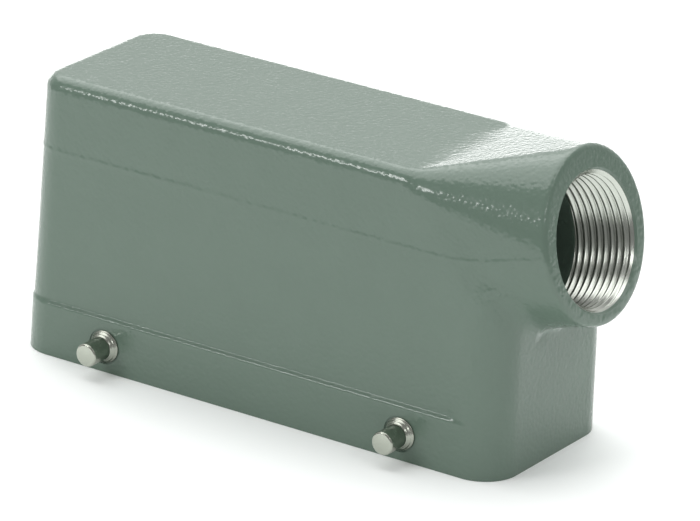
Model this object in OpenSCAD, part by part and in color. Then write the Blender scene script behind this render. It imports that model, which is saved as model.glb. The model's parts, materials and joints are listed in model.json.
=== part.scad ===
// Hood of a heavy duty rectangular connector: a die-cast shell that stands on its
// open rim, with an inclined cable entry at the +X end and four locking pegs.
// Origin: centre of the open rim.  +X towards the cable entry, +Z up.

/* [Body] */
// Length over the end walls at the rim
body_l = 120; // [90:1:160]
// Width over the long walls at the rim
body_w = 43; // [41:0.5:60]
// Height of the flat roof above the rim
body_h = 61; // [56:0.5:80]
// Wall thickness at the rim
wall = 3; // [2:0.1:4]
// Thickness of the roof
roof_t = 3.5; // [2.5:0.1:5]
// Radius of the upright corners at the rim
corner_r = 8; // [7:0.1:9]
// Radius of the upright corners at the roof
roof_corner_r = 7; // [6:0.1:8]
// Radius of the edge round the roof
edge_r = 2.9; // [2:0.1:5]
// Draft of the long walls
side_draft = 0.4; // [0.2:0.1:1]
// Draft of the end wall opposite the cable entry
end_draft = 2.9; // [1:0.1:4]
// Draft of the walls inside
cavity_draft = 1.2; // [0.5:0.1:2]

/* [Skirt] */
// Height of the skirt round the rim
skirt_h = 11.8; // [9:0.1:16]
// Step in from the skirt to the long walls
skirt_step = 0.75; // [0.4:0.05:1.5]
// Step in from the skirt to the end wall opposite the cable entry
skirt_end_step = 0.25; // [0.1:0.05:1]
// Draft of the skirt
skirt_draft = 1.2; // [0.3:0.1:2]

/* [Cable entry] */
// Upward tilt of the entry
entry_tilt = 14; // [8:0.5:20]
// Diameter of the boss at its face
boss_d = 36.7; // [33:0.1:38]
// Draft of the boss
boss_draft = 1; // [0.5:0.1:1.5]
// Radius of the edge round the boss face
boss_edge_r = 0.9; // [0.4:0.1:1.5]
// Centre of the boss face beyond the end of the rim
entry_out = 7.8; // [6:0.1:12]
// Centre of the boss face below the roof
entry_down = 11.2; // [9:0.1:14]
// Major diameter of the entry thread
thread_d = 28.3; // [22:0.1:29]
// Length of the entry thread
thread_l = 14.5; // [12:0.5:16]
// Thread axis below the boss axis
bore_down = 1.2; // [0:0.1:1.6]
// Chamfer round the mouth of the thread
mouth_chamfer = 0.6; // [0.3:0.1:1]
// Depth of the thread profile
thread_depth = 0.75; // [0.5:0.05:1]
// Length of the roof that rises into the boss, from the end of the rim
rise_l = 27; // [20:0.5:34]

/* [Shoulder] */
// Top of the lower end wall below the underside of the boss
shoulder_gap = 1; // [0:0.1:3]
// Step in above the shoulder
shoulder_in = 1.8; // [1:0.1:2.5]
// Radius of the shoulder edge
shoulder_r = 1.4; // [0.8:0.1:2]
// Lean of the end wall from the shoulder to the boss axis
cheek_lean = 8; // [6:0.5:10]

/* [Insert posts] */
// Insert screws in from each side of the rim
post_in = 8; // [7.5:0.1:9]
// Diameter of each post
post_d = 10.4; // [10:0.1:11]
// Post faces above the rim
post_h = 14; // [13:0.5:20]
// Core diameter of the insert screw thread
screw_d = 3.3; // [2.5:0.1:4]
// Depth of the insert screw holes
screw_l = 12; // [8:0.5:14]

/* [Locking pegs] */
// Peg axis in from each end of the rim
peg_in = 23; // [18:0.5:30]
// Peg axis above the rim
peg_h = 5.6; // [5.2:0.1:6]
// Diameter of the locking pin
pin_d = 5; // [4:0.1:5.5]
// Length of a peg outside its seat
peg_out = 6.8; // [5:0.1:9]
// Chamfer round the end of the pin
pin_chamfer = 0.35; // [0.2:0.05:0.6]
// Diameter of the collar at the wall
collar_d = 7; // [6:0.1:8]
// Length of the collar
collar_l = 1.6; // [1:0.1:2.5]
// Thickness of the collar's rim at the wall
collar_rim = 0.35; // [0.2:0.05:0.6]
// Diameter of the shank through the wall
shank_d = 4; // [3:0.1:4.5]
// Clearance round the shank
shank_clearance = 0.05; // [0.03:0.01:0.2]
// Depth of the flat seat cut round each peg, from the rim's outline
seat_depth = 0.35; // [0.25:0.05:0.6]
// Clearance round the collar in its seat
seat_clearance = 0.35; // [0.2:0.05:0.6]
// Thickness of the wall and pad that a peg is riveted through
peg_wall = 3.7; // [3.3:0.1:4.5]
// Diameter of the pad inside the wall
pad_d = 8.6; // [7.5:0.1:9]
// Diameter of the riveted head
rivet_d = 5.8; // [5:0.1:7]
// Height of the riveted head
rivet_t = 1.1; // [0.8:0.1:1.5]

/* [Hidden] */

$fn = 64;
hull_fn = 40;            // facets of the round forms inside a hull
edge_steps = 5;          // steps round a quarter of a rounded edge
slice = 0.01;            // thickness of a flat outline inside a hull
over = 1;                // how far a cut runs past a face

half_l = body_l / 2;
half_w = body_w / 2;

// Skirt and walls, as half widths and end positions at a height
skirt_top_w = half_w - skirt_h * tan(skirt_draft);
wall_foot_w = skirt_top_w - skirt_step;
wall_foot_end = half_l - skirt_end_step;
edge_z = body_h - edge_r;
roof_w = wall_foot_w - (edge_z - skirt_h) * tan(side_draft);
roof_end = wall_foot_end - (edge_z - skirt_h) * tan(end_draft);
foot_corner_r = corner_r - skirt_step / 2;

// Cable entry: centre of the boss face and where the roof starts to rise
boss_r = boss_d / 2;
entry_x = half_l + entry_out;
entry_z = body_h - entry_down;
rise_x = half_l - rise_l;
rise_end = rise_x + roof_corner_r;
boss_l = (entry_out + rise_l) / cos(entry_tilt);
rise_sink = 0.05;        // how far the rise starts below the roof, so that they cross cleanly
passage_d = thread_d - 2 * thread_depth;

// Shoulder under the boss; the boss axis crosses the end wall at axis_z
end_x = half_l - shoulder_in;
axis_z = entry_z - (entry_out + shoulder_in) * tan(entry_tilt);
shoulder_h = entry_z - entry_out * tan(entry_tilt) - boss_r / cos(entry_tilt) - shoulder_gap;
shoulder_tuck = 0.15;    // how far the lower end block stays inside the long walls

// Cavity and what stands in it
cavity_end = half_l - wall;
cavity_w = half_w - wall;
cavity_h = body_h - roof_t;
cavity_taper = cavity_h * tan(cavity_draft);
cavity_corner_r = corner_r - wall;
cavity_roof_r = cavity_corner_r - cavity_taper;
cavity_edge_r = 1.5;
post_x = half_l - post_in;
post_y = half_w - post_in;
peg_x = half_l - peg_in;
peg_seat = half_w - seat_depth;

// Places children at the four upright corners of a block, where corner radius r is centred
module upright_corners(x0, x1, half_y, r) {
    for (x = [x0 + r, x1 - r], y = [-half_y + r, half_y - r])
        translate([x, y, 0]) children();
}

// Round edge of a corner: radius r in plan, edge radius e, top at z = 0
module corner_edge(r, e) {
    rotate_extrude($fn = hull_fn)
        polygon([
            [0, -e - slice], [r, -e - slice],
            for (i = [0:edge_steps]) let (a = 90 * i / edge_steps)
                [r - e + e * cos(a), -e + e * sin(a)],
            [0, 0]
        ]);
}

// Flat disc for one corner of an outline
module corner_disc(r) {
    cylinder(r = r, h = slice, $fn = hull_fn);
}

// Skirt round the rim, drafted up to its ledge
module skirt() {
    inset = skirt_h * tan(skirt_draft);
    hull() {
        upright_corners(-half_l, half_l, half_w, corner_r) corner_disc(corner_r);
        translate([0, 0, skirt_h - slice])
            upright_corners(-half_l + inset, half_l, half_w - inset, corner_r)
                corner_disc(corner_r);
    }
}

// Walls and roof above the skirt; the roof runs on into the rise of the entry
module upper_body() {
    hull() {
        translate([0, 0, skirt_h - over])
            upright_corners(-wall_foot_end, end_x, wall_foot_w, foot_corner_r)
                corner_disc(foot_corner_r);
        translate([0, 0, shoulder_h])
            upright_corners(0, end_x, roof_w, foot_corner_r) corner_disc(foot_corner_r);
        translate([0, 0, axis_z])
            upright_corners(0, end_x - cheek_lean, roof_w, foot_corner_r)
                corner_disc(foot_corner_r);
        translate([0, 0, body_h])
            upright_corners(-roof_end, rise_end, roof_w, roof_corner_r)
                corner_edge(roof_corner_r, edge_r);
    }
}

// Lower end block, full length of the rim, with the rounded shoulder on top
module lower_end() {
    block_w = roof_w - shoulder_tuck;
    hull() {
        translate([0, 0, skirt_h - over])
            upright_corners(rise_x, half_l, block_w, foot_corner_r)
                corner_disc(foot_corner_r);
        translate([0, 0, shoulder_h])
            upright_corners(rise_x, half_l, block_w, foot_corner_r)
                corner_edge(foot_corner_r, shoulder_r);
    }
}

// Places children on the boss axis: local z points out of the entry, local x down
module at_entry() {
    translate([entry_x, 0, entry_z]) rotate([0, 90 - entry_tilt, 0]) children();
}

// Boss and rise in one casting form: the round boss, drafted towards the body, and the
// roof with its rounded edges lofted up into the boss
module entry_boss() {
    hull() {
        at_entry() rotate_extrude($fn = 2 * hull_fn)
            polygon([
                [0, -boss_l], [boss_r + boss_l * tan(boss_draft), -boss_l],
                for (i = [0:edge_steps]) let (a = 90 * i / edge_steps)
                    [boss_r - boss_edge_r * (1 - cos(a)), -boss_edge_r * (1 - sin(a))],
                [0, 0]
            ]);
        for (side = [-1, 1]) translate([rise_x, side * (roof_w - edge_r), edge_z - rise_sink])
            rotate([0, 90, 0]) cylinder(r = edge_r, h = slice, $fn = hull_fn);
    }
}

// Space inside, open at the rim and drafted so that the core can be drawn
module cavity() {
    hull() {
        translate([0, 0, -over])
            upright_corners(-cavity_end, cavity_end, cavity_w, cavity_corner_r)
                corner_disc(cavity_corner_r);
        translate([0, 0, shoulder_h])
            upright_corners(0, cavity_end - shoulder_h * tan(cavity_draft),
                            cavity_w - cavity_taper, cavity_roof_r) corner_disc(cavity_roof_r);
        translate([0, 0, cavity_h])
            upright_corners(-roof_end + wall, rise_end, cavity_w - cavity_taper, cavity_roof_r)
                corner_edge(cavity_roof_r, cavity_edge_r);
    }
}

// Threaded entry and the passage behind it, which opens into the cavity
module entry_bore() {
    at_entry() translate([bore_down, 0, 0]) {
        translate([0, 0, -thread_l]) cylinder(d = thread_d, h = thread_l + over);
        translate([0, 0, -mouth_chamfer])
            cylinder(r1 = thread_d / 2, r2 = thread_d / 2 + mouth_chamfer + over,
                     h = mouth_chamfer + over);
        translate([0, 0, -boss_l]) cylinder(d = passage_d, h = boss_l);
    }
}

// Posts that the contact insert is screwed to: two reach the roof, and the two below
// the boss end at its axis
module insert_posts() {
    for (end = [-1, 1], y = [-post_y, post_y]) {
        post_top = end < 0 ? cavity_h + over : axis_z;
        translate([end * post_x, y, post_h]) cylinder(d = post_d, h = post_top - post_h);
    }
}

module insert_screw_holes() {
    for (x = [-post_x, post_x], y = [-post_y, post_y])
        translate([x, y, post_h - over]) cylinder(d = screw_d, h = screw_l + over);
}

// Places children at a peg: local z points out of the wall from its seat
module at_peg(end, side) {
    translate([end * peg_x, side * peg_seat, peg_h]) rotate([-90 * side, 0, 0]) children();
}

// Pads inside the wall, and the holes and flat seats that the pegs are riveted in
module peg_pads() {
    for (end = [-1, 1], side = [-1, 1])
        at_peg(end, side) translate([0, 0, -peg_wall]) cylinder(d = pad_d, h = peg_wall - over);
}

module peg_holes() {
    for (end = [-1, 1], side = [-1, 1])
        at_peg(end, side) {
            translate([0, 0, -peg_wall - over])
                cylinder(d = shank_d + 2 * shank_clearance, h = peg_wall + 2 * over);
            cylinder(d = collar_d + 2 * seat_clearance, h = seat_depth + over);
        }
}

module hood_shell() {
    color([0.45, 0.51, 0.47]) difference() {
        union() {
            difference() {
                union() {
                    skirt();
                    upper_body();
                    lower_end();
                    entry_boss();
                }
                cavity();
            }
            insert_posts();
            peg_pads();
        }
        entry_bore();
        insert_screw_holes();
        peg_holes();
    }
}

// One turned peg: riveted head inside, shank, conical collar and locking pin
module locking_peg(end, side) {
    color([0.72, 0.72, 0.69]) at_peg(end, side) rotate_extrude()
        polygon([
            [0, -peg_wall - rivet_t], [rivet_d / 2 - rivet_t / 2, -peg_wall - rivet_t],
            [rivet_d / 2, -peg_wall - rivet_t / 2], [rivet_d / 2, -peg_wall],
            [shank_d / 2, -peg_wall], [shank_d / 2, 0],
            [collar_d / 2, 0], [collar_d / 2, collar_rim],
            [pin_d / 2, collar_l], [pin_d / 2, peg_out - pin_chamfer],
            [pin_d / 2 - pin_chamfer, peg_out], [0, peg_out]
        ]);
}

module locking_peg_front_left() { locking_peg(-1, -1); }
module locking_peg_front_right() { locking_peg(1, -1); }
module locking_peg_rear_left() { locking_peg(-1, 1); }
module locking_peg_rear_right() { locking_peg(1, 1); }

hood_shell();
locking_peg_front_left();
locking_peg_front_right();
locking_peg_rear_left();
locking_peg_rear_right();
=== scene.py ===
import json
import math

import bmesh
import bpy
import numpy as np
from mathutils import Matrix, Vector


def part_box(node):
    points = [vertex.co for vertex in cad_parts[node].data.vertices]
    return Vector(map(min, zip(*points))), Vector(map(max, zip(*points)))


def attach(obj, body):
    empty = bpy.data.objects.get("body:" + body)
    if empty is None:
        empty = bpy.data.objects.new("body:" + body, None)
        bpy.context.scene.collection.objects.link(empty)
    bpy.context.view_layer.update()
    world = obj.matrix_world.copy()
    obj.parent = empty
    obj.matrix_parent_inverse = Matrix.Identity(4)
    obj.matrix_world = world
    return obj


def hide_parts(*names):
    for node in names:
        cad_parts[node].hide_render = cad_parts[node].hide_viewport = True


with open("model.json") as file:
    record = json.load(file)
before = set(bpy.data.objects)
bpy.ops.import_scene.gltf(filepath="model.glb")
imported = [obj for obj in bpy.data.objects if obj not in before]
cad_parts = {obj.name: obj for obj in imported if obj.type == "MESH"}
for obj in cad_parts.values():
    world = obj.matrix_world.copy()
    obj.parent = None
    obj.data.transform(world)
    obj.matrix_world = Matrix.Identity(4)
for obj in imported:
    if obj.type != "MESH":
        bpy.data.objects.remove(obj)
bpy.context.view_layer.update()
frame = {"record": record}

scene = bpy.context.scene
scene.view_settings.view_transform = "Standard"


# ---------------------------------------------------------------------------------------
# Hood casting.  One aluminium pressure die-casting, powder coated: skirt, walls, roof and
# the inclined boss of the cable entry run into each other with cast fillets.  A core leaves
# the space inside, and the halves of the mould leave a thin witness line where they met.
# ---------------------------------------------------------------------------------------

MM = 0.001
low, high = (np.array(corner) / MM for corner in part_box("hood_shell"))
mounts = {mount["name"]: mount for mount in frame["record"]["mounts"]}
entry = mounts["cable_entry"]
entry_axis = np.array(entry["axis"])
entry_up = np.array([-entry_axis[2], 0, entry_axis[0]])
entry_slope = entry_axis[2] / entry_axis[0]
thread_r = entry["dims"]["r_mm"]
mouth = np.array(entry["pos_m"]) / MM + entry_axis * 7.0

# Body, in millimetres; drafts are in degrees.
half_l = -low[0]
half_w = high[1]
body_h = 61.0
corner_r = 8.0
skirt_h = 11.8
skirt_draft = 1.2
ledge_up = 0.1
ledge_r = 0.9
ledge_fillet = 0.5
foot_corner_r = 7.6
roof_corner_r = 7.0
edge_r = 2.9
wall_y = 20.5
side_draft = 0.4
end_step = 0.25
end_draft = 2.9
shoulder_h = 27.94
shoulder_r = 1.4
shoulder_y = 20.3
rise_x = 33.0

# Boss of the cable entry: round at its face, and as wide as the walls where it meets them.
boss_r = 18.33
boss_edge_r = 0.9
boss_centre = mouth + 1.2 * entry_up
boss_l = 44.0
boss_draft = 1
boss_widens = 1.95
widens_over = 23
turns_over = 31.1
tapers_over = 60

# Witness line of the mould, a low ridge all round.
witness_h = 45.3
witness_proud = 0.1
witness_w = 0.6


def round_edge(a, b, r):
    """Two faces that meet in a convex edge of radius r."""
    return np.minimum(-r, np.maximum(a, b)) + np.hypot(np.maximum(a + r, 0), np.maximum(b + r, 0))


def fillet(a, b, size):
    """Two bodies that run into each other; the fillet reaches size from their crossing."""
    return np.minimum(a, b) - np.maximum(size - np.abs(a - b), 0) ** 2 / (4 * size)


def outline(x, y, x0, x1, half_y, r):
    """Distance from an upright block with rounded corners."""
    return round_edge(np.abs(x - (x0 + x1) / 2) - (x1 - x0) / 2, np.abs(y) - half_y, r)


def ramp(value, start, end):
    """Smooth step from 0 at start to 1 at end."""
    share = np.clip((value - start) / (end - start), 0, 1)
    return share ** 2 * (3 - 2 * share)


def witness_rise(x):
    """Height that the parting line gains as it turns to follow the boss axis."""
    turn_x, turn_l = 49.7, 7.0
    along = np.clip((x - turn_x + turn_l) / (2 * turn_l), 0, 1)
    return entry_slope * np.where(x < turn_x + turn_l, along ** 2 * turn_l, x - turn_x)


def skirt(x, y, z):
    """Drafted band round the rim; its upper edge is the rounded ledge."""
    inset = z * math.tan(math.radians(skirt_draft))
    wall = outline(x, y, -half_l + inset, half_l, half_w - inset, corner_r)
    return round_edge(wall, z - skirt_h - ledge_up, ledge_r)


def walls_and_roof(x, y, z):
    """Leans in towards the roof; at the right it ends inside the boss, furthest in mid-roof."""
    up = np.maximum(z - skirt_h, 0)
    half_y = wall_y - up * math.tan(math.radians(side_draft))
    left = -half_l + end_step + up * math.tan(math.radians(end_draft))
    right = np.interp(z, [shoulder_h, 35, 41, 47.4, body_h], [59, 58.8, 56, 52, 40])
    roof_runs_on = 7
    right = right + roof_runs_on * ramp(z, 54, 60) * (1 - ramp(np.abs(y), 3, 10))
    r = np.interp(z, [shoulder_h, body_h], [foot_corner_r, roof_corner_r])
    return round_edge(outline(x, y, left, right, half_y, r), z - body_h, edge_r)


def lower_end(x, y, z):
    """Full length of the rim; its shoulder rises towards the corners, into the boss.

    It flares out low at its end and tucks in under the boss, so that neither shows a step.
    """
    end = half_l - np.maximum(z - 40, 0)
    flare = 0.9 * ramp(x, 45, 53) * (1 - ramp(z, 16, 40))
    tuck = 1.2 * ramp(z, 36, 49)
    block = outline(x, y, rise_x, end, shoulder_y + flare - tuck, foot_corner_r)
    cheek_h, cheek_from, cheek_to = 24, 6, 15
    top = shoulder_h + cheek_h * ramp(np.abs(y), cheek_from, cheek_to)
    steepest = cheek_h * 1.5 / (cheek_to - cheek_from)
    slope = steepest * (ramp(np.abs(y), 5, 9) - ramp(np.abs(y), 12, 16))
    return round_edge(block, (z - top) / np.hypot(1, slope), shoulder_r)


def boss(x, y, z):
    """Round at its face and drafted; towards the body its upper half turns into the roof.

    At its inner end it draws in behind the walls.
    """
    ahead = (x - boss_centre[0]) * entry_axis[0] + (z - boss_centre[2]) * entry_axis[2]
    up = (x - boss_centre[0]) * entry_up[0] + (z - boss_centre[2]) * entry_up[2]
    back = np.clip(-ahead, 0, tapers_over)
    drawn_in = 0.3 * np.maximum(back - 29, 0)
    half_y = boss_r + boss_widens * np.clip(back / widens_over, 0, 1) - drawn_in
    top = boss_r + 0.009 * back
    corner = boss_r + (edge_r - boss_r) * np.clip(back / turns_over, 0, 1)
    upper = round_edge(np.abs(y) - half_y, up - top, corner)
    deep = boss_r + back * math.tan(math.radians(boss_draft))
    lower = (np.hypot(y / half_y, up / deep) - 1) * deep
    side = np.maximum(np.where(up > 0, upper, lower), -ahead - boss_l)
    return round_edge(side, ahead, boss_edge_r)


def unlike(field_a, field_b, x, y, z):
    """How far apart the directions of two faces are: 0 when parallel, 1 when square."""
    step = 0.05
    total = 0
    for d in np.eye(3) * step:
        slope_a = field_a(x + d[0], y + d[1], z + d[2]) - field_a(x - d[0], y - d[1], z - d[2])
        slope_b = field_b(x + d[0], y + d[1], z + d[2]) - field_b(x - d[0], y - d[1], z - d[2])
        total = total + (slope_a - slope_b) ** 2
    return np.sqrt(total / 2) / (2 * step)


least_fillet = 0.05


def body(x, y, z):
    """Walls, roof and lower end; their fillet grows to full size at the end wall."""
    size = least_fillet + 1.6 * np.clip((x - 52) / 6, 0, 1)
    return fillet(walls_and_roof(x, y, z), lower_end(x, y, z), size)


def hood_outside(x, y, z):
    """The casting without its space inside.

    The fillet between body and boss grows with the angle at which they meet.  It is wide
    round the boss, narrow along the walls, and has a size of its own in the fold where the
    roof turns up into the boss.
    """
    back = (boss_centre[0] - x) * entry_axis[0] + (boss_centre[2] - z) * entry_axis[2]
    widest = 2.8 + ramp(np.abs(y), 4, 9)
    along_walls = 0.6 + 0.3 * np.maximum(28 - back, 0)
    widest = np.where(back > 18, np.minimum(widest, along_walls), widest)
    fold = ramp(z, 56, 60) * (1 - ramp(np.abs(y), 6, 16))
    angle = unlike(body, boss, x, y, z)
    in_fold = np.minimum(least_fillet + 6 * angle, 1.1)
    size = (least_fillet + widest * angle) * (1 - fold) + in_fold * fold
    hood = fillet(body(x, y, z), boss(x, y, z), size)
    at_ledge = least_fillet + ledge_fillet * np.clip((half_l - np.abs(x)) / corner_r, 0, 1)
    hood = fillet(hood, skirt(x, y, z), at_ledge)
    off_line = (z - witness_h - witness_rise(x)) / witness_w
    return hood - witness_proud * np.exp(-off_line ** 2) * np.clip(back - boss_edge_r, 0, 1)


def spaced(*stretches):
    """Grid lines: (start, end, spacing) for each stretch."""
    lines = [np.arange(round((end - start) / gap)) * gap + start for start, end, gap in stretches]
    return np.append(np.concatenate(lines), stretches[-1][1])


def skin(name, field, xs, ys, zs, bend=None):
    """Mesh of the surface where field is 0, on the grid xs, ys, zs."""
    x, y, z = np.meshgrid(xs, ys, zs, indexing="ij")
    if bend is not None:
        z = bend(x, z)
    value = field(x, y, z)
    at = np.stack([x, y, z], axis=-1)
    cells = tuple(n - 1 for n in value.shape)
    total, count = np.zeros(cells + (3,)), np.zeros(cells)
    crossings = []
    for axis in range(3):
        first = [slice(None)] * 3
        second = [slice(None)] * 3
        first[axis], second[axis] = slice(0, -1), slice(1, None)
        va, vb = value[tuple(first)], value[tuple(second)]
        crossed = (va < 0) != (vb < 0)
        share = np.where(crossed, va / np.where(crossed, va - vb, 1), 0)[..., None]
        point = (at[tuple(first)] * (1 - share) + at[tuple(second)] * share) * crossed[..., None]
        crossings.append((crossed, va < 0))
        others = [a for a in range(3) if a != axis]
        for i in (0, 1):
            for j in (0, 1):
                window = [slice(None)] * 3
                window[others[0]] = slice(i, cells[others[0]] + i)
                window[others[1]] = slice(j, cells[others[1]] + j)
                total += point[tuple(window)]
                count += crossed[tuple(window)]
    used = count > 0
    number = np.full(cells, -1)
    number[used] = np.arange(used.sum())
    verts = total[used] / count[used][:, None]
    faces = []
    for axis, (crossed, inside) in enumerate(crossings):
        b, c = [(1, 2), (2, 0), (0, 1)][axis]
        spot = np.argwhere(crossed)
        keep = (spot[:, b] > 0) & (spot[:, c] > 0) & (spot[:, b] < cells[b]) & (spot[:, c] < cells[c])
        spot = spot[keep]
        way_out = inside[crossed][keep]
        ring = []
        for db, dc in ((-1, -1), (0, -1), (0, 0), (-1, 0)):
            cell = spot.copy()
            cell[:, b] += db
            cell[:, c] += dc
            ring.append(number[tuple(cell.T)])
        quad = np.stack(ring, axis=-1)
        quad[~way_out] = quad[~way_out][:, ::-1]
        faces.append(quad)
    faces = np.concatenate(faces)
    for _ in range(3):
        verts = settle(field, verts)
    mesh = bpy.data.meshes.new(name)
    mesh.vertices.add(len(verts))
    mesh.vertices.foreach_set("co", (verts * MM).ravel())
    mesh.loops.add(faces.size)
    mesh.loops.foreach_set("vertex_index", faces.ravel())
    mesh.polygons.add(len(faces))
    mesh.polygons.foreach_set("loop_start", np.arange(len(faces)) * 4)
    mesh.update(calc_edges=True)
    mesh.validate()
    piece = bpy.data.objects.new(name, mesh)
    scene.collection.objects.link(piece)
    return piece


def settle(field, verts):
    """Moves each point onto the surface."""
    step = 0.02
    value = field(*verts.T)
    rises = [field(*(verts + d).T) - field(*(verts - d).T) for d in np.eye(3) * step]
    slope = np.stack(rises, axis=-1) / (2 * step)
    move = value[:, None] * slope / np.maximum((slope ** 2).sum(axis=1), 0.25)[:, None]
    return verts - np.clip(move, -0.3, 0.3)


def follow_witness(x, z):
    """Bends the grid rows so that the witness line lies along them."""
    return z + witness_rise(x) * np.interp(z, [25, witness_h], [0, 1])


wall_t = 3.0
core_end = half_l - wall_t
core_h = body_h - 3.5
core_draft = 1.2
core_end_draft = 2.55
screws = mounts["insert_screws"]
post_x = screws["dims"]["spacing_x_mm"] / 2
post_y = screws["dims"]["spacing_y_mm"] / 2
post_h = screws["pos_m"][2] / MM
post_r = 5.2
peg_mount = mounts["peg_front_right"]
peg_x = peg_mount["pos_m"][0] / MM
peg_h = peg_mount["pos_m"][2] / MM
collar_l = 1.6
peg_seat = -peg_mount["pos_m"][1] / MM - peg_mount["dims"]["length_mm"] / 2 - collar_l
peg_wall = 3.7
pad_r = 4.3


def core(x, y, z):
    """Space that the core leaves: open at the rim, drafted, with posts and pads in it."""
    left = -core_end + z * math.tan(math.radians(core_end_draft))
    right = np.interp(z, [0, shoulder_h, core_h], [core_end, core_end - 0.6, 40])
    half_y = half_w - wall_t - z * math.tan(math.radians(core_draft))
    space = round_edge(outline(x, y, left, right, half_y, 5 - z * 0.02), z - core_h, 1.5)
    post = round_edge(np.hypot(np.abs(x) - post_x, np.abs(y) - post_y) - post_r, post_h - z, 0.4)
    pad = np.maximum(np.hypot(np.abs(x) - peg_x, z - peg_h) - pad_r, peg_seat - peg_wall - np.abs(y))
    return -fillet(fillet(-space, post, 1.2), pad, 0.6)


mill_off = 1.0

# The grids are fine at the ends, the ledge, the shoulder, the witness line and the boss, and
# coarse on the plain walls.  Casting and core reach below the rim by what is milled off.
hood = skin(
    "hood_casting", lambda x, y, z: np.maximum(hood_outside(x, y, z), -mill_off - z),
    spaced((-61.5, -50.5, 0.5), (-50.5, 29.5, 2), (29.5, 55.5, 1), (55.5, 64, 0.5), (64, 73.75, 0.375)),
    spaced((-22.5, -21.5, 0.5), (-21.5, -19.9, 0.16), (-19.9, -12.4, 0.5), (-12.4, 12.4, 1),
           (12.4, 19.9, 0.5), (19.9, 21.5, 0.16), (21.5, 22.5, 0.5)),
    spaced((-2, 11, 1.3), (11, 12.6, 0.16), (12.6, 25.4, 1.6), (25.4, 30, 0.46), (30, 44.4, 0.8),
           (44.4, 46.2, 0.15), (46.2, 55, 0.8), (55, 69, 0.5)),
    follow_witness)
hood_core = skin(
    "hood_core", lambda x, y, z: np.maximum(core(x, y, z), -2 * mill_off - z),
    spaced((-58.5, 58.5, 0.9)), spaced((-19.8, 19.8, 0.9)),
    spaced((-3, 1, 1), (1, 10.5, 0.95), (10.5, 13, 1.25), (13, 15, 0.4), (15, 54, 1.3), (54, 58.5, 0.5)))


# Machining.  The rim is milled flat, and the entry, the screw holes and the seats of the
# pegs are bored, so their edges are crisp.
def turned(name, profile, places, around=96):
    """Revolves profile, a list of (radius, height) in mm, at each of the places."""
    build = bmesh.new()
    for place in places:
        rings = []
        for r, h in profile:
            if r == 0:
                rings.append([build.verts.new(place @ Vector((0, 0, h * MM)))])
                continue
            turn = [2 * math.pi * i / around for i in range(around)]
            points = [Vector((r * math.cos(a) * MM, r * math.sin(a) * MM, h * MM)) for a in turn]
            rings.append([build.verts.new(place @ point) for point in points])
        closed = rings if len(rings[0]) == 1 else rings + rings[:1]
        for lower, upper in zip(closed, closed[1:]):
            for i in range(around):
                j = i + 1
                corners = [lower[i % len(lower)], lower[j % len(lower)],
                           upper[j % len(upper)], upper[i % len(upper)]]
                build.faces.new(dict.fromkeys(corners))
    bmesh.ops.recalc_face_normals(build, faces=build.faces)
    mesh = bpy.data.meshes.new(name)
    build.to_mesh(mesh)
    build.free()
    piece = bpy.data.objects.new(name, mesh)
    scene.collection.objects.link(piece)
    return piece


def facing(place, axis):
    """Frame whose origin is at place, in mm, and whose z points along axis."""
    turn = Vector(axis).to_track_quat("Z", "Y").to_matrix().to_4x4()
    return Matrix.Translation(Vector([float(v) for v in place]) * MM) @ turn


mouth_chamfer = 0.6
chamfer_l = 0.45
bore_r = thread_r + 0.15
thread_l = 14.5
passage_r = 13.4
passage_end = 33
over = 3
rim_mill = turned("rim_mill", [(0, -5), (200, -5), (200, 0), (0, 0)], [Matrix.Identity(4)])
entry_tool = turned(
    "entry_tool",
    [(0, over), (thread_r + mouth_chamfer + over, over), (thread_r + mouth_chamfer, 0), (bore_r, -chamfer_l),
     (bore_r, -thread_l), (passage_r, -thread_l), (passage_r, -passage_end), (0, -passage_end)],
    [facing(mouth, entry_axis)], 192)
screw_r = screws["dims"]["hole_r_mm"]
screw_l = 11
screw_tool = turned(
    "screw_tool", [(0, -1), (screw_r, -1), (screw_r, screw_l), (0, screw_l + 0.95)],
    [facing((x, y, post_h), (0, 0, 1)) for x in (-post_x, post_x) for y in (-post_y, post_y)], 32)
peg_places = {f"{side}_{end}": facing((sx * peg_x, sy * peg_seat, peg_h), (0, sy, 0))
              for side, sy in (("front", -1), ("rear", 1)) for end, sx in (("left", -1), ("right", 1))}
peg_hole_r = 2.05
seat_r = 3.85
seat_tool = turned(
    "seat_tool", [(0, -6), (peg_hole_r, -6), (peg_hole_r, 0), (seat_r, 0), (seat_r, over), (0, over)],
    peg_places.values(), 64)
for tool in (hood_core, rim_mill, entry_tool, screw_tool, seat_tool):
    cut = hood.modifiers.new(tool.name, "BOOLEAN")
    cut.object = tool
    cut.operation = "DIFFERENCE"
    cut.solver = "MANIFOLD"
cast = hood.evaluated_get(bpy.context.evaluated_depsgraph_get())
machined = bpy.data.meshes.new_from_object(cast)
hood.modifiers.clear()
hood.data = machined
for tool in (hood_core, rim_mill, entry_tool, screw_tool, seat_tool):
    bpy.data.objects.remove(tool)
machined.polygons.foreach_set("use_smooth", [True] * len(machined.polygons))
machined.polygons.foreach_set("material_index", [0] * len(machined.polygons))
machined.set_sharp_from_angle(angle=math.radians(35))
machined.materials.clear()
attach(hood, "root")
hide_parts("hood_shell")


def linear(hex_colour):
    """sRGB hex colour as linear RGBA."""
    parts = [int(hex_colour[i:i + 2], 16) / 255 for i in (1, 3, 5)]
    return [part / 12.92 if part <= 0.04045 else ((part + 0.055) / 1.055) ** 2.4 for part in parts] + [1]


def add_node(tree, kind, inputs=(), **settings):
    """Adds a node; inputs are values for its sockets, or the outputs that feed them."""
    node = tree.nodes.new(kind)
    for setting, value in settings.items():
        setattr(node, setting, value)
    for socket, value in dict(inputs).items():
        if isinstance(value, bpy.types.NodeSocket):
            tree.links.new(value, node.inputs[socket])
        else:
            node.inputs[socket].default_value = value
    return node


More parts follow.
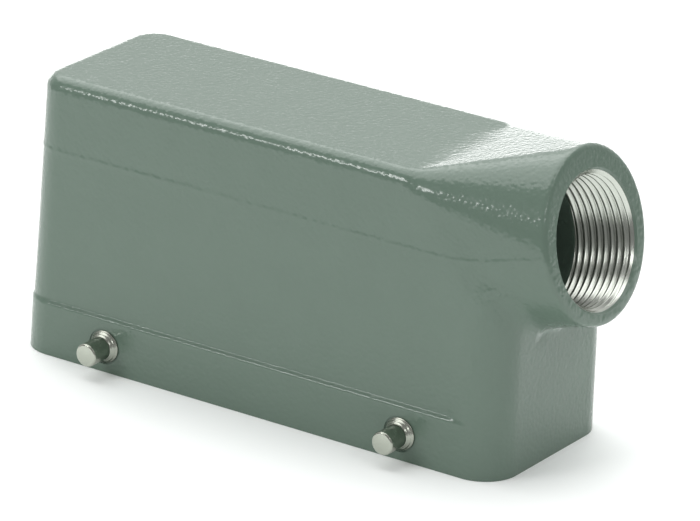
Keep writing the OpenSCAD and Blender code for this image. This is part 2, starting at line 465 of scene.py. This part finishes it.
def new_material(name):
    """A material whose node tree holds only its output; returns it, the tree and the output."""
    material = bpy.data.materials.new(name)
    material.use_nodes = True
    material.node_tree.nodes.clear()
    return material, material.node_tree, material.node_tree.nodes.new("ShaderNodeOutputMaterial")


# Powder coat, grey-green polyester, baked on the casting.  It flows out to a fine leather
# grain with a half-gloss skin, which breaks highlights on the edges into sparks.
grain_mm = 0.95
grain_depth_mm = 0.075
waver_mm = 2.2 * grain_mm
waver_by_mm = 0.6
cloud_mm = 9
coat, tree, output = new_material("powder_coat_grey_green")
place = add_node(tree, "ShaderNodeTexCoord").outputs["Object"]
waver = add_node(tree, "ShaderNodeTexNoise", {"Vector": place, "Scale": 1 / (waver_mm * MM), "Detail": 2})
bent = add_node(tree, "ShaderNodeMixRGB",
                {"Fac": waver_by_mm * MM, "Color1": place, "Color2": waver.outputs["Color"]},
                blend_type="ADD")
cells = add_node(tree, "ShaderNodeTexVoronoi",
                 {"Vector": bent.outputs["Color"], "Scale": 1 / (grain_mm * MM), "Smoothness": 0.6},
                 feature="SMOOTH_F1")
grain = add_node(tree, "ShaderNodeBump",
                 {"Height": cells.outputs["Distance"], "Strength": 1.0, "Distance": grain_depth_mm * MM},
                 invert=True)
cloud = add_node(tree, "ShaderNodeTexNoise", {"Vector": place, "Scale": 1 / (cloud_mm * MM), "Detail": 3})
tint = add_node(tree, "ShaderNodeValToRGB", {"Fac": cloud.outputs["Fac"]})
tint.color_ramp.elements[0].color = linear("#5c6e62")
tint.color_ramp.elements[1].color = linear("#607266")
paint = add_node(tree, "ShaderNodeBsdfPrincipled",
                 {"Base Color": tint.outputs["Color"], "Roughness": 0.2, "IOR": 1.5,
                  "Normal": grain.outputs["Normal"]})
tree.links.new(paint.outputs["BSDF"], output.inputs["Surface"])
machined.materials.append(coat)


# ---------------------------------------------------------------------------------------
# Entry thread.  Part of the casting, tapped after coating, so its aluminium is bare and
# bright: a conduit thread with shallow ridges, behind a chamfered mouth, that holds the
# cable gland.
# ---------------------------------------------------------------------------------------

thread_pitch = 1.588
thread_depth = 0.75
crest_r = thread_r - thread_depth
crest_share = 0.1
flank_round = 0.15
thread_back = bore_r - 0.02
around = 192
rows = 142
depth = np.linspace(chamfer_l, thread_l, rows)[:, None]
turn = np.linspace(0, 2 * math.pi, around, endpoint=False)[None, :]
phase = (depth / thread_pitch - turn / (2 * math.pi)) % 1
flank = (np.abs(2 * phase - 1) - crest_share) / (1 - 2 * crest_share)
flank = (1 - flank_round) * np.clip(flank, 0, 1) + flank_round * ramp(flank, 0, 1)
ridge = np.maximum(crest_r + thread_depth * flank, thread_r + mouth_chamfer - depth)
wall_depth = np.vstack([depth + 0 * turn, thread_l + 0 * turn, chamfer_l + 0 * turn])
wall_r = np.vstack([ridge, thread_back + 0 * turn, thread_back + 0 * turn])
local = np.stack([wall_r * np.cos(turn), wall_r * np.sin(turn), -wall_depth], axis=-1).reshape(-1, 3) * MM
i, j = np.meshgrid(np.arange(rows + 2), np.arange(around), indexing="ij")
after_i, after_j = (i + 1) % (rows + 2), (j + 1) % around
quads = np.stack([i * around + j, after_i * around + j,
                  after_i * around + after_j, i * around + after_j], axis=-1)
thread_mesh = bpy.data.meshes.new("entry_thread")
thread_mesh.from_pydata(local.tolist(), [], quads.reshape(-1, 4).tolist())
thread_mesh.transform(facing(mouth, entry_axis))
thread_mesh.polygons.foreach_set("use_smooth", [True] * len(thread_mesh.polygons))
thread_mesh.set_sharp_from_angle(angle=math.radians(60))
thread = bpy.data.objects.new("entry_thread", thread_mesh)
scene.collection.objects.link(thread)
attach(thread, "root")

# Bare die-cast aluminium, cut by a tap: bright, with highlights drawn out along the ridges.
aluminium, tree, output = new_material("cut_aluminium")
metal = add_node(tree, "ShaderNodeBsdfPrincipled",
                 {"Base Color": linear("#bdc1b9"), "Metallic": 1.0, "Roughness": 0.25})
tree.links.new(metal.outputs["BSDF"], output.inputs["Surface"])
thread_mesh.materials.append(aluminium)


# ---------------------------------------------------------------------------------------
# Locking pegs.  Four turned stainless pegs, each riveted through the skirt onto a pad inside;
# each has a conical collar with turning rings and a plain pin that the locking lever hooks
# over.
# ---------------------------------------------------------------------------------------

pin_r = peg_mount["dims"]["r_mm"]
peg_out = collar_l + peg_mount["dims"]["length_mm"] + 0.35
collar_r = 3.5
shank_r = 2.0
ring_depth = 0.05
cone_steps = 8
cone = []
for step in range(cone_steps + 1):
    share = step / cone_steps
    ring = ring_depth if step % 4 == 2 else 0
    cone.append((collar_r - 0.06 + (pin_r + 0.12 - collar_r) * share - ring, 0.4 + (collar_l - 0.45) * share))
riveted_head = [(0, -peg_wall - 1.1), (1.3, -peg_wall - 1.08), (2.3, -peg_wall - 0.8),
                (2.8, -peg_wall - 0.35), (2.9, -peg_wall)]
shank = [(shank_r, -peg_wall), (shank_r, 0)]
collar = [(collar_r - 0.08, 0), (collar_r, 0.08), (collar_r, 0.32)] + cone
pin = [(pin_r, collar_l), (pin_r, peg_out - 0.42), (pin_r - 0.06, peg_out - 0.22),
       (pin_r - 0.22, peg_out - 0.06), (pin_r - 0.42, peg_out), (0, peg_out)]

# Stainless steel, free-cutting bar: a clean grey metal whose turning marks run round the axis
# and stretch its highlights along the peg.
steel, tree, output = new_material("turned_stainless_steel")
round_the_axis = add_node(tree, "ShaderNodeTangent", direction_type="RADIAL", axis="Y")
metal = add_node(tree, "ShaderNodeBsdfPrincipled",
                 {"Base Color": linear("#b1b5aa"), "Metallic": 1.0, "Roughness": 0.26, "Anisotropic": 0.6,
                  "Tangent": round_the_axis.outputs["Tangent"]})
tree.links.new(metal.outputs["BSDF"], output.inputs["Surface"])
for place_name, place in peg_places.items():
    peg = turned("peg_" + place_name, riveted_head + shank + collar + pin, [place], 72)
    peg.data.polygons.foreach_set("use_smooth", [True] * len(peg.data.polygons))
    peg.data.set_sharp_from_angle(angle=math.radians(30))
    peg.data.materials.append(steel)
    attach(peg, "root")
    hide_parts("locking_peg_" + place_name)


# ---------------------------------------------------------------------------------------
# Stage.  A white acrylic sheet, faintly lit from below, under soft light: a wide cloth
# overhead, a lit backdrop, small boxes at the sides, and the camera.
# ---------------------------------------------------------------------------------------

floor_r = 0.4
floor_z = -0.00005
floor_mesh = bpy.data.meshes.new("floor")
build = bmesh.new()
bmesh.ops.create_circle(
    build, cap_ends=True, segments=96, radius=floor_r, matrix=Matrix.Translation((0, 0, floor_z)))
build.to_mesh(floor_mesh)
build.free()
floor = bpy.data.objects.new("floor", floor_mesh)
scene.collection.objects.link(floor)
acrylic, tree, output = new_material("lit_white_acrylic")
sheet = add_node(tree, "ShaderNodeBsdfPrincipled",
                 {"Base Color": linear("#fbfdfc"), "Roughness": 0.9, "Specular IOR Level": 0.0,
                  "Emission Color": linear("#fafffc"), "Emission Strength": 0.03})
tree.links.new(sheet.outputs["BSDF"], output.inputs["Surface"])
floor_mesh.materials.append(acrylic)

# The room is bright towards the backdrop and dim elsewhere, which shows only in reflections.
# It fills shadows evenly, and is white where the camera sees it.
backdrop_way = (-0.549, 0.836, 0)
world = bpy.data.worlds.new("studio")
scene.world = world
world.use_nodes = True
tree = world.node_tree
tree.nodes.clear()
output = tree.nodes.new("ShaderNodeOutputWorld")
rays = add_node(tree, "ShaderNodeLightPath")
towards = add_node(tree, "ShaderNodeTexCoord").outputs["Generated"]
behind = add_node(tree, "ShaderNodeVectorMath", {0: towards, 1: backdrop_way}, operation="DOT_PRODUCT")
room = add_node(tree, "ShaderNodeMapRange",
                {"Value": behind.outputs["Value"], "From Min": 0.3, "From Max": 0.8,
                 "To Min": 0.27, "To Max": 1.05})
seen = add_node(tree, "ShaderNodeMath",
                {0: rays.outputs["Is Camera Ray"], 1: rays.outputs["Is Transmission Ray"]},
                operation="MAXIMUM")
fill = add_node(tree, "ShaderNodeMix", {0: rays.outputs["Is Glossy Ray"], 2: 0.57, 3: room.outputs["Result"]},
                data_type="FLOAT")
strength = add_node(tree, "ShaderNodeMix", {0: seen.outputs[0], 2: fill.outputs[0], 3: 1.0},
                    data_type="FLOAT")
sky = add_node(tree, "ShaderNodeBackground", {"Color": (1, 1, 1, 1), "Strength": strength.outputs[0]})
tree.links.new(sky.outputs[0], output.inputs["Surface"])


def lamp_from(name, kind, azimuth, elevation, distance, **settings):
    """Lamp aimed at the hood; azimuth is from the front, positive towards the cable entry."""
    lamp = bpy.data.lights.new(name, kind)
    for setting, value in settings.items():
        setattr(lamp, setting, value)
    azimuth, elevation = math.radians(azimuth), math.radians(elevation)
    way = Vector((math.sin(azimuth) * math.cos(elevation), -math.cos(azimuth) * math.cos(elevation),
                  math.sin(elevation)))
    lamp_object = bpy.data.objects.new(name, lamp)
    lamp_object.location = way * distance + Vector((0, 0, 0.04))
    lamp_object.rotation_euler = way.to_track_quat("Z", "Y").to_euler()
    lamp_object.visible_camera = False
    scene.collection.objects.link(lamp_object)


lamp_from("overhead_cloth", "SUN", -130, 64, 1, energy=2.3, angle=math.radians(70))
lamp_from("front_left_box", "AREA", -30, 28, 0.75, energy=1.15, shape="RECTANGLE", size=0.26, size_y=0.055)
lamp_from("front_right_box", "AREA", 69, 36, 0.75, energy=0.3, shape="ELLIPSE", size=0.14, size_y=0.14)
lamp_from("right_box", "AREA", 117, 55, 0.8, energy=0.72, shape="RECTANGLE", size=0.36, size_y=0.26)
lamp_from("lit_backdrop", "AREA", -147, -0.8, 1.7, energy=6.2, shape="RECTANGLE", size=2.2, size_y=0.48)

camera_aim = Vector((9.38, 0, 29.896)) * MM
camera_distance = 1.17215
azimuth, elevation, roll = (math.radians(angle) for angle in (33.301, 21.177, 2.232))
back = Vector((math.sin(azimuth) * math.cos(elevation), -math.cos(azimuth) * math.cos(elevation),
               math.sin(elevation)))
level = Vector((math.cos(azimuth), math.sin(azimuth), 0))
upright = back.cross(level)
right = level * math.cos(roll) + upright * math.sin(roll)
up = upright * math.cos(roll) - level * math.sin(roll)
lens = bpy.data.cameras.new("camera")
lens.sensor_width = 36
lens.lens = 293.18
camera = bpy.data.objects.new("camera", lens)
camera.matrix_world = (Matrix.Translation(camera_aim + back * camera_distance)
                       @ Matrix((right, up, back)).transposed().to_4x4())
scene.collection.objects.link(camera)
scene.camera = camera
